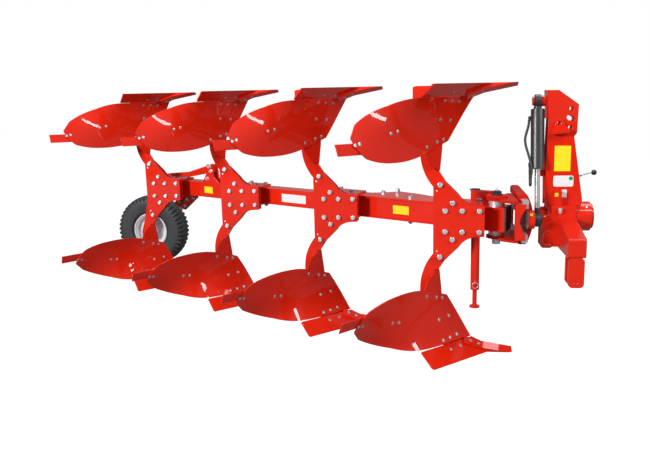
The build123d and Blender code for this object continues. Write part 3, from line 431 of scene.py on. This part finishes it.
# Bolts of the leg plates: pivot, centre and column bolts, heads near, nuts far
PLATE_HEAD = {"flats": 0.0265, "height": 0.014, "washer": 0.0155}
SIDE_NUT = {"flats": 0.027, "height": 0.018, "stud": 0.009}
PLATE_NEAR_Y = 0.010
PLATE_FAR_Y = 0.0722
COLUMN_X = (0.031, 0.1326, 0.2342)
OUTER_BOLTS = [(0.075, 0.1125), (0.075, -0.1125), (0.0, 0.2225), (0.0, -0.2225)]
DOWEL_X, DOWEL_Z = -0.018, 0.187
plate_bolts = bmesh.new()
for index, unit in enumerate(UNITS):
    column_z = 0.0645 if index < 2 else 0.054
    near = unit.to_3x3() @ NEAR
    heads = [(x, hand * column_z) for x in COLUMN_X for hand in (1, -1)] + OUTER_BOLTS
    for order, (x, z) in enumerate(heads):
        spin = (order * 1.3 + index * 0.7) % 1.05
        add_hex_bolt(plate_bolts, unit @ Vector((x, PLATE_NEAR_Y, z)), near, spin=spin, **PLATE_HEAD)
        if (x, z) in OUTER_BOLTS:
            add_nut(plate_bolts, unit @ Vector((x, PLATE_FAR_Y, z)), -near, spin=spin, **SIDE_NUT)
    for hand in (1, -1):
        dowel = axes_at(unit @ Vector((DOWEL_X, PLATE_NEAR_Y, hand * DOWEL_Z)), near)
        add_lathe(plate_bolts, dowel, [(0.0055, -SINK), (0.0055, 0.0012), (0.004, 0.0018)], 14)
finish_piece("plate_bolts", plate_bolts, ZINC, "beam")

# Flush bolts of the bodies, found on the faces of the boards, shins, shares and points
BODY_RAY_BACK = 0.08
BODY_RAY_REACH = 0.2
SHARE_NORMAL = (BOARD_AHEAD * 0.527 + Vector((0.0, 0.0, 0.85))).normalized()
# Places in the unit's frame, along, across and below it, in mm
BOARD_BOLTS = [
    (-68, -64, 456), (-13, 7, 480), (16, 50, 492), (-4, -19, 613), (54, 50, 606), (25, -74, 724),
    (69, -29, 721), (111, 20, 716), (-254, -310, 553), (-222.5, -268, 561), (-409, -548, 506),
    (-391, -520, 511),
]
SHARE_BOLTS = [(79, -107, 766), (135, -40, 762), (191, 17, 753), (239, 26, 775)]
BODY_FACES = (
    (BOARD_BOLTS, -BOARD_AHEAD, ("mouldboards", "shins")),
    (SHARE_BOLTS, -SHARE_NORMAL, ("shares", "points")),
)
body_bolts = bmesh.new()
for unit in UNITS:
    for prefix, side_matrix in (("lower_", unit), ("upper_", unit @ FLIP)):
        for spots, ray, names in BODY_FACES:
            direction = side_matrix.to_3x3() @ ray
            for x, y, depth in spots:
                start = side_matrix @ mm(x, y, -depth) - direction * BODY_RAY_BACK
                found = landing(start, direction, [prefix + name for name in names], BODY_RAY_REACH)
                if found:
                    add_flush_bolt(body_bolts, *found)
finish_piece("body_bolts", body_bolts, BOLT, "beam")

# Upright bolts through the beam's plates and brackets, heads above and nuts below
BEAM_NODES = ["front_unit_brackets", "rear_unit_brackets", "splice_plates", "rear_beam"]
BEAM_RAY_START = 200.0
BEAM_RAY_REACH = 0.3
# Places along and across the beam's frame, and the height of each head, in mm
BEAM_SPOTS = [
    (-841, 160, 26), (-633, 3, 13), (-930, 110, 13), (-1154, 103, 13), (-135, 29, 13), (-219, 126, 13),
    (-2045, 45, 13), (-2205, 45, 13), (-2045, -40, 13), (-3010, 45, 13), (-3165, 45, 13),
    (-3165, -40, 13), (-300, -42, 13), (-1095, -42, 13), (-1265, -42, 13), (-1265, 45, 13),
]
beam_bolts = bmesh.new()
for along, off, head_height in BEAM_SPOTS:
    spin = along * 0.01 % 1.0
    above = landing(BEAM @ mm(along, off, BEAM_RAY_START), -UP, BEAM_NODES, BEAM_RAY_REACH)
    if above:
        add_hex_bolt(beam_bolts, above[0], UP, 0.030, head_height / 1000.0, washer=0.018, spin=spin)
    below = landing(BEAM @ mm(along, off, -BEAM_RAY_START), UP, BEAM_NODES, BEAM_RAY_REACH)
    if below:
        add_nut(beam_bolts, below[0], -UP, flats=0.030, height=0.022, stud=0.010, spin=spin)
finish_piece("beam_bolts", beam_bolts, DULL_ZINC, "beam")

# Bolts through the frame above the beam, and heads on the frame of the depth wheel
FRAME_HEAD = {"flats": 0.027, "height": 0.013, "washer": 0.0165}
WHEEL_FRAME_HEAD = {"flats": 0.024, "height": 0.012, "washer": 0.015}
FRAME_HALF = 34
frame_bolts = bmesh.new()
beam_near = BEAM.to_3x3() @ NEAR
for along, height in ((-2631, 196), (-2610, 158), (-2659, 92)):
    spin = along * 0.1 % 1.0
    add_hex_bolt(frame_bolts, BEAM @ mm(along, -FRAME_HALF, height), beam_near, spin=spin, **FRAME_HEAD)
    add_nut(frame_bolts, BEAM @ mm(along, FRAME_HALF, height), -beam_near, spin=spin, **SIDE_NUT)
for along, height in ((-3012, -120), (-2920, -100), (-3042, -182)):
    found = landing(BEAM @ mm(along, -70, height), -beam_near, ["wheel_frame"], 0.2)
    if found:
        add_hex_bolt(frame_bolts, found[0], beam_near, spin=along * 0.1 % 1.0, **WHEEL_FRAME_HEAD)
finish_piece("frame_bolts", frame_bolts, ZINC, "beam")

# Sprung catch at the rear of the lower frame plate: black block, coil spring and red knob
catch_root = BEAM @ mm(-3088, 16, -124)
catch_axis = (BEAM @ mm(-3152, 4, -168) - catch_root).normalized()
catch_block = bmesh.new()
block_profile = [(0.015, 0.0), (0.017, 0.002), (0.017, 0.044), (0.015, 0.046)]
add_lathe(catch_block, axes_at(catch_root - catch_axis * 0.030, catch_axis), block_profile, 20)
finish_piece("catch_block", catch_block, BLACK, "beam")

COIL_RADIUS = 0.013
COIL_START = 0.014
COIL_LENGTH = 0.036
COIL_STEPS = 72
COIL_STEPS_A_TURN = 18
catch_spring = bmesh.new()
coil = []
for step in range(COIL_STEPS + 1):
    centre = catch_root + catch_axis * (COIL_START + COIL_LENGTH * step / COIL_STEPS)
    coil.append(axes_at(centre, catch_axis) @ on_circle(COIL_RADIUS, FULL_TURN * step / COIL_STEPS_A_TURN))
add_tube(catch_spring, coil, 0.0024, 8)
finish_piece("catch_spring", catch_spring, LABEL, "beam")

catch_knob = bmesh.new()
knob_profile = [
    (0.010, -0.044), (0.010, 0.0), (0.021, 0.001), (0.023, 0.004), (0.023, 0.024), (0.019, 0.029),
]
add_lathe(catch_knob, axes_at(catch_root + catch_axis * 0.050, catch_axis), knob_profile, 24)
finish_piece("catch_knob", catch_knob, RED, "beam")

# Black block on top of the rear end of the bar beside the beam. This is a painted reflection: a dark thing
# put where the bar's top shows a dark reflection
DARK_REFLECTION_CORNERS = [(-228, 75), (-180, 75), (-180, 127), (-228, 127)]
DARK_REFLECTION_SINK, DARK_REFLECTION_RISE = 0.4, 7.0
dark_reflection_block = bmesh.new()
bar_top = landing(BEAM @ mm(-200, 101, 200), DOWN, ["side_bar"], 0.3)
if bar_top:
    top = (BEAM.inverted() @ bar_top[0]).z * 1000.0
    skin(dark_reflection_block, [
        [dark_reflection_block.verts.new(BEAM @ mm(along, off, height)) for along, off in DARK_REFLECTION_CORNERS]
        for height in (top - DARK_REFLECTION_SINK, top + DARK_REFLECTION_RISE)
    ])
finish_piece("side_bar_dark_reflection", dark_reflection_block, BLACK, "beam")

# Blank films on the tower and the lock block: lower left corner, width, height and corner radius
TOWER_FACE_Y = -0.055
LOCK_FACE_Y = -0.095
HEAD_FILMS = (
    ("tower_yellow_film", YELLOW, (-0.047, TOWER_FACE_Y, 0.557), 0.094, 0.153, 0.003),
    ("tower_white_film", LABEL, (-0.049, TOWER_FACE_Y, 0.463), 0.117, 0.067, 0.010),
    ("tower_small_film", LABEL, (0.002, TOWER_FACE_Y, 0.398), 0.030, 0.046, 0.004),
    ("lock_yellow_film", YELLOW, (-0.044, LOCK_FACE_Y, 0.408), 0.020, 0.022, 0.002),
)
for name, look, corner, width, height, radius in HEAD_FILMS:
    film = bmesh.new()
    add_film(film, Vector(corner), FRONT, UP, width, height, radius)
    finish_piece(name, film, look, "headstock")

# Plain green disc on the tower
dot = bmesh.new()
add_lathe(dot, axes_at(Vector((0.053, -0.0554, 0.513)), NEAR), [(0.012, -0.0003), (0.012, 0.0006)], 28)
finish_piece("tower_green_dot", dot, GREEN, "headstock")

# Blank films on the near side of the beam: rear, front, low and high edge in the beam's frame, in mm
BEAM_FACE = -63
BEAM_FILMS = (
    ("beam_front_film", YELLOW, -731, -604, -32, 25),
    ("beam_middle_film", LABEL, -1767, -1521, -33, 30),
    ("beam_rear_film", YELLOW, -2674, -2569, -27, 28),
)
along_beam = BEAM.to_3x3() @ FRONT
for name, look, rear, front, low, high in BEAM_FILMS:
    film = bmesh.new()
    width = (front - rear) / 1000.0
    height = (high - low) / 1000.0
    add_film(film, BEAM @ mm(rear, BEAM_FACE, low), along_beam, UP, width, height, 0.004)
    finish_piece(name, film, look, "beam")

# Blank film bent round the crank boss
BOSS_Y = -0.125
BOSS_INNER, BOSS_OUTER = 0.0569, 0.0575
BOSS_REAR, BOSS_FRONT = -0.194, -0.178
BOSS_FILM_START, BOSS_FILM_SPAN = 32.0, 16.0
BOSS_FILM_STEPS = 6
BOSS_SECTION = (
    (BOSS_INNER, BOSS_REAR), (BOSS_INNER, BOSS_FRONT), (BOSS_OUTER, BOSS_FRONT), (BOSS_OUTER, BOSS_REAR),
)
boss_film = bmesh.new()
sections = []
for step in range(BOSS_FILM_STEPS + 1):
    angle = (BOSS_FILM_START + BOSS_FILM_SPAN * step / BOSS_FILM_STEPS) * D2R
    sections.append([
        boss_film.verts.new((x, BOSS_Y - radius * math.cos(angle), SHAFT_Z + radius * math.sin(angle)))
        for radius, x in BOSS_SECTION
    ])
skin(boss_film, sections)
finish_piece("boss_yellow_film", boss_film, YELLOW, "yoke")

# Headstock fasteners and the small boss behind the tower
head_bolts = bmesh.new()
add_nut(
    head_bolts, Vector((-0.012, -0.112, 0.338)), DOWN, flats=0.020, height=0.026, stud=0.006, spin=0.3,
)
add_hex_bolt(
    head_bolts, Vector((-0.096, -0.084, 0.286)), REAR, flats=0.024, height=0.014, washer=0.0, spin=0.1,
)
finish_piece("head_bolts", head_bolts, ZINC, "headstock")
tower_boss = bmesh.new()
boss_profile = [(0.019, -0.002), (0.019, 0.018), (0.023, 0.019), (0.023, 0.033), (0.021, 0.036)]
add_lathe(tower_boss, axes_at(Vector((-0.082, 0.0, 0.543)), REAR), boss_profile, 28)
finish_piece("tower_boss", tower_boss, RED, "headstock")

# Lock handle: bent rod and round knob in place of the plain solids
HANDLE_Y, HANDLE_Z = -0.020, 0.531
COLLAR_X, ROD_X, KNOB_X = 0.090, 0.120, 0.192
ROD_RUN, ROD_RISE = 0.060, 0.013
ROD_STEPS = 14
KNOB_RADIUS = 0.0165
KNOB_STEPS = 16
handle = bmesh.new()
collar_profile = [(0.0125, -0.004), (0.0125, 0.030), (0.011, 0.034)]
add_lathe(handle, axes_at(Vector((COLLAR_X, HANDLE_Y, HANDLE_Z)), FRONT), collar_profile, 24)
bend = []
for step in range(ROD_STEPS + 1):
    part = step / ROD_STEPS
    ease = 3 * part * part - 2 * part * part * part
    bend.append((ROD_X + ROD_RUN * part, HANDLE_Y, HANDLE_Z + ROD_RISE * ease))
add_tube(handle, bend, 0.0052)
handle_rod = finish_piece("lock_handle_rod", handle, ZINC, "headstock")
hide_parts("lock_handle")

lock_knob = bmesh.new()
ball_profile = []
for step in range(KNOB_STEPS + 1):
    angle = math.pi * step / KNOB_STEPS
    ball_profile.append((KNOB_RADIUS * math.sin(angle) + 0.0002, -KNOB_RADIUS * math.cos(angle)))
knob_place = Vector((KNOB_X, HANDLE_Y, HANDLE_Z + ROD_RISE))
add_lathe(lock_knob, axes_at(knob_place, (1.0, 0.0, 0.06)), ball_profile, 28)
finish_piece("lock_knob", lock_knob, KNOB, "headstock")

# Grease nipples on the pin's nut and on the turnover tube, one piece that rides with the slide
nipples = bmesh.new()
add_nipple(nipples, PLOUGH @ mm(0, 0, 170), UP)
add_nipple(nipples, Vector((0.150, -0.064, 0.336)), (0.0, -0.7, 0.7))
finish_piece("pin_nipple", nipples, ZINC, "carriage")

# Ring pin through the stand's tube
RING_RADIUS = 0.018
RING_STEPS = 24
PIN_BELOW_SHAFT = 0.396
ring_pin = bmesh.new()
stand_axis = PLOUGH @ mm(-126, -55.5, 0)
pin_rise = SHAFT_Z - PIN_BELOW_SHAFT - stand_axis.z
pin_axes = axes_at(stand_axis + Vector((0.0, -0.040, pin_rise)), (0.0, 1.0, 0.0))
add_lathe(ring_pin, pin_axes, [(0.0045, -0.006), (0.0045, 0.016)], 14)
ring_points = []
for step in range(RING_STEPS + 1):
    angle = FULL_TURN * step / RING_STEPS
    height = pin_rise - RING_RADIUS + RING_RADIUS * math.cos(angle)
    ring_points.append(stand_axis + Vector((RING_RADIUS * math.sin(angle), -0.044, height)))
add_tube(ring_pin, ring_points, 0.0017, 8)
finish_piece("stand_ring_pin", ring_pin, ZINC, "beam")

# Tyre with deep shoulder lugs and zigzag ribs, in place of the plain ring
WHEEL = PLOUGH @ Matrix.Translation((-3.215, 1.823, -0.483)) @ Matrix.Rotation(-math.pi / 2.0, 4, "X")
# Rings of one half: radius, distance from the middle and depth of the cuts, and zigzag in mm
HALF_TYRE = [
    (0.3270, 0.004, 0.0, 4),
    (0.3366, 0.010, 0.0, 4),
    (0.3362, 0.038, 0.0, -4),
    (0.3260, 0.045, 0.0, -4),
    (0.3345, 0.052, 0.010, 0),
    (0.3285, 0.085, 0.022, 0),
    (0.3020, 0.1005, 0.018, 0),
    (0.2780, 0.1015, 0.0, 0),
    (0.2420, 0.1038, 0.0, 0),
    (0.1900, 0.0965, 0.0, 0),
    (0.1560, 0.0660, 0.0, 0),
]
TYRE_PROFILE = [(radius, -y, cut, zigzag) for radius, y, cut, zigzag in reversed(HALF_TYRE)] + HALF_TYRE
TREAD_STEP = 3
TYRE_STEPS = 47 * TREAD_STEP
tyre = bmesh.new()
tyre_rings = []
for radius, y, cut, zigzag in TYRE_PROFILE:
    cut_step = 0 if y > 0 else 1
    ring = []
    for step in range(TYRE_STEPS):
        part = step % TREAD_STEP
        depth = cut if part == cut_step else 0.0
        shift = zigzag * (part - 1) / 1000.0
        spot = on_circle(radius - depth, FULL_TURN * step / TYRE_STEPS, y + shift)
        ring.append(tyre.verts.new(WHEEL @ spot))
    tyre_rings.append(ring)
join_rings(tyre, tyre_rings)
tyre_piece = finish_piece("tyre", tyre, TYRE, "wheel", sharp_angle=28.0)
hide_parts("wheel_tyre")

# Wheel nuts on both faces of the rim's disc
WHEEL_NUT = {"flats": 0.021, "height": 0.014, "stud": 0.007}
NUT_CIRCLE = 0.086
NUT_COUNT = 6
wheel_nuts = bmesh.new()
wheel_near = WHEEL.to_3x3() @ DOWN
for side, depth in ((1.0, 0.024), (-1.0, 0.014)):
    for step in range(NUT_COUNT):
        angle = FULL_TURN * step / NUT_COUNT + 0.3
        spot = WHEEL @ on_circle(NUT_CIRCLE, angle, -depth * side)
        add_nut(wheel_nuts, spot, wheel_near * side, spin=0.4, **WHEEL_NUT)
finish_piece("wheel_nuts", wheel_nuts, ZINC, "wheel")


# Stage: pale floor and a soft studio
def background_rays(nodes, links):
    """1 for rays that come from the camera or through glass, 0 for the others."""
    path = nodes.new("ShaderNodeLightPath")
    either = nodes.new("ShaderNodeMath")
    either.operation = "MAXIMUM"
    links.new(path.outputs["Is Camera Ray"], either.inputs[0])
    links.new(path.outputs["Is Transmission Ray"], either.inputs[1])
    return either.outputs[0]


def make_floor(height, half_width, glow_strength):
    """A grey floor that keeps the shadow and shows white in the background."""
    mesh = bpy.data.meshes.new("floor")
    corners = [
        (hand_x * half_width, hand_y * half_width, height)
        for hand_x, hand_y in ((-1, -1), (1, -1), (1, 1), (-1, 1))
    ]
    mesh.from_pydata(corners, [], [(0, 1, 2, 3)])
    floor = bpy.data.objects.new("floor", mesh)
    scene.collection.objects.link(floor)
    material, nodes, links, shader = new_material("floor_look")
    shader.inputs["Base Color"].default_value = (0.22, 0.22, 0.22, 1.0)
    shader.inputs["Roughness"].default_value = 0.95
    shader.inputs["Specular IOR Level"].default_value = 0.0
    glow = nodes.new("ShaderNodeEmission")
    glow.inputs["Color"].default_value = (1.0, 1.0, 1.0, 1.0)
    glow.inputs["Strength"].default_value = glow_strength
    lifted = nodes.new("ShaderNodeAddShader")
    links.new(shader.outputs["BSDF"], lifted.inputs[0])
    links.new(glow.outputs["Emission"], lifted.inputs[1])
    pick = nodes.new("ShaderNodeMixShader")
    links.new(background_rays(nodes, links), pick.inputs["Fac"])
    links.new(shader.outputs["BSDF"], pick.inputs[1])
    links.new(lifted.outputs[0], pick.inputs[2])
    links.new(pick.outputs[0], nodes["Material Output"].inputs["Surface"])
    floor.data.materials.append(material)


def make_world(light_strength):
    """White where the camera sees it, and a soft light on the object."""
    world = bpy.data.worlds.new("studio")
    scene.world = world
    world.use_nodes = True
    nodes, links = world.node_tree.nodes, world.node_tree.links
    background = nodes["Background"]
    background.inputs["Color"].default_value = (1.0, 1.0, 1.0, 1.0)
    strength = nodes.new("ShaderNodeMapRange")
    strength.inputs["To Min"].default_value = light_strength
    strength.inputs["To Max"].default_value = 1.0
    links.new(background_rays(nodes, links), strength.inputs["Value"])
    links.new(strength.outputs["Result"], background.inputs["Strength"])


def area_light(name, place, target, width, height, power, lean=0.0):
    data = bpy.data.lights.new(name, "AREA")
    data.energy = power
    data.shape = "RECTANGLE"
    data.size = width
    data.size_y = height
    lamp = bpy.data.objects.new(name, data)
    lamp.location = place
    facing = (Vector(target) - Vector(place)).to_track_quat("-Z", "Y").to_matrix()
    lamp.rotation_euler = (facing @ Matrix.Rotation(lean * D2R, 3, "Z")).to_euler()
    scene.collection.objects.link(lamp)


make_floor(height=-0.548, half_width=30.0, glow_strength=0.94)
make_world(light_strength=0.26)
area_light("key", (-6.8, -5.6, 2.9), (-1.6, 0.2, 0.3), width=1.6, height=1.0, power=650.0)
area_light("strip", (3.9, -3.9, 4.65), (-3.0, 1.0, 0.8), width=0.8, height=7.0, power=345.0, lean=31.0)
area_light("top", (0.6, 0.9, 3.4), (-1.8, 0.6, 0.0), width=1.6, height=1.6, power=45.0)
area_light("back", (-1.5, 5.5, 4.5), (-1.6, 0.2, 0.4), width=4.0, height=3.0, power=45.0)

scene.view_settings.view_transform = "Standard"
